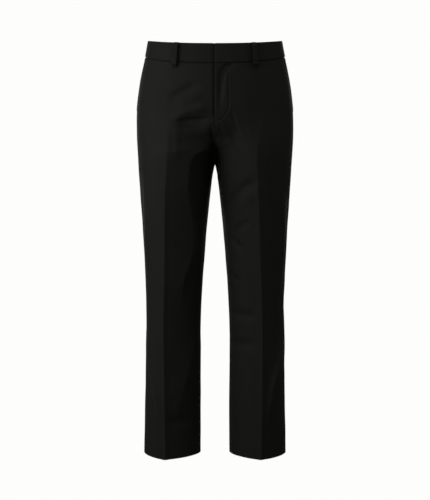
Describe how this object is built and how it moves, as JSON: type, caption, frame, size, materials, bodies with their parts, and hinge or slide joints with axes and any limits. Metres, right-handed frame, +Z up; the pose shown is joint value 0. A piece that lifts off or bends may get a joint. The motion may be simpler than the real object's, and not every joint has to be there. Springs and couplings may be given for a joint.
{
  "type": "softshell trousers",
  "caption": "Black flat-front trousers in worn form with waistband, belt loops, fly, slant pockets and pressed creases.",
  "frame": {"origin": "middle of the waistband's ring, at the height of the band's middle at the side, where the wearer holds the trousers up", "axes": "+Z up the legs to the waist, +X to the wearer's left, -Y to the front"},
  "size_m": [0.3984, 0.2591, 1.0686],
  "materials": {
    "front_left": "smooth matt black stretch cloth",
    "front_right": "smooth matt black stretch cloth",
    "back_left": "smooth matt black stretch cloth",
    "back_right": "smooth matt black stretch cloth",
    "side_pocket_left": "smooth matt black stretch cloth",
    "side_pocket_right": "smooth matt black stretch cloth",
    "fly_underlap": "smooth matt black stretch cloth",
    "waistband_left": "smooth matt black stretch cloth, stitched down",
    "waistband_right": "smooth matt black stretch cloth, stitched down",
    "belt_loop_front_left": "folded matt black cloth strip",
    "belt_loop_front_right": "folded matt black cloth strip",
    "belt_loop_side_left": "folded matt black cloth strip",
    "belt_loop_side_right": "folded matt black cloth strip",
    "belt_loop_back": "folded matt black cloth strip"
  },
  "bodies": {
    "root": {"front_left": "front_left", "front_right": "front_right", "back_left": "back_left", "back_right": "back_right", "side_pocket_left": "side_pocket_left", "side_pocket_right": "side_pocket_right", "fly_underlap": "fly_underlap", "waistband_left": "waistband_left", "waistband_right": "waistband_right", "belt_loop_front_left": "belt_loop_front_left", "belt_loop_front_right": "belt_loop_front_right", "belt_loop_side_left": "belt_loop_side_left", "belt_loop_side_right": "belt_loop_side_right", "belt_loop_back": "belt_loop_back"}
  },
  "joints": []
}
